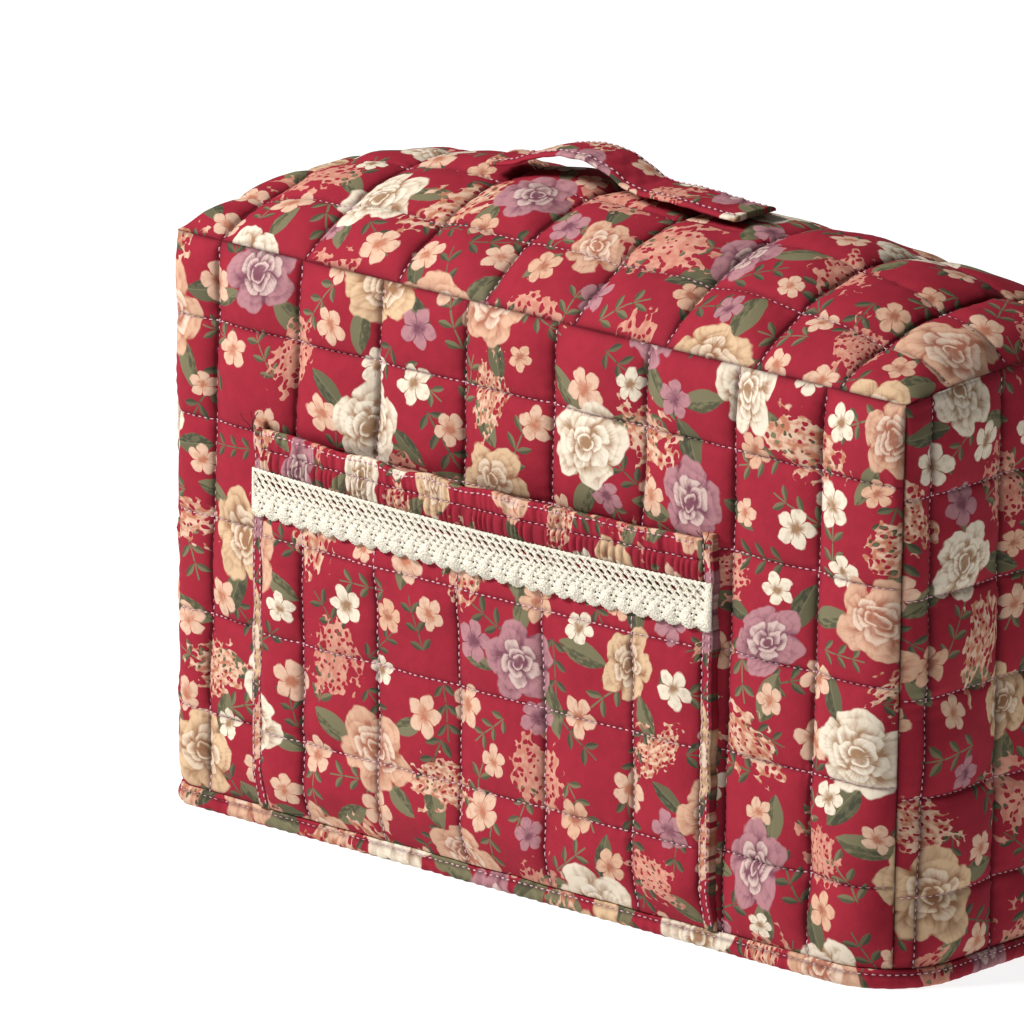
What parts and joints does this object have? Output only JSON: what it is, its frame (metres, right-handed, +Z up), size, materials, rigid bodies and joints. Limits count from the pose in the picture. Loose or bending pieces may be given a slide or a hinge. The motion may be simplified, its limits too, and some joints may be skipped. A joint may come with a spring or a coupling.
{
  "type": "sewing machine cover",
  "caption": "Box-shaped quilted floral cloth cover for a sewing machine, with a crowned top, carrying strap and a lace-trimmed front pocket.",
  "frame": {"origin": "on the floor it stands on, below the middle of the whole outline in width and depth", "axes": "+Z up, -Y towards the front wall with the pocket, +X to the right as seen from the front"},
  "size_m": [0.4466, 0.1866, 0.3269],
  "materials": {
    "quilted_cotton": "matte",
    "binding_cotton": "matte",
    "cotton_lace": "matte"
  },
  "bodies": {
    "root": {"front_panel": "quilted_cotton", "right_side_panel": "quilted_cotton", "back_panel": "quilted_cotton", "left_side_panel": "quilted_cotton", "top_panel": "quilted_cotton", "hem_binding": "binding_cotton", "pocket_panel": "quilted_cotton", "pocket_casing": "quilted_cotton", "pocket_edge_left": "binding_cotton", "pocket_edge_right": "binding_cotton", "lace_trim": "cotton_lace", "handle_strap": "binding_cotton"}
  },
  "joints": []
}
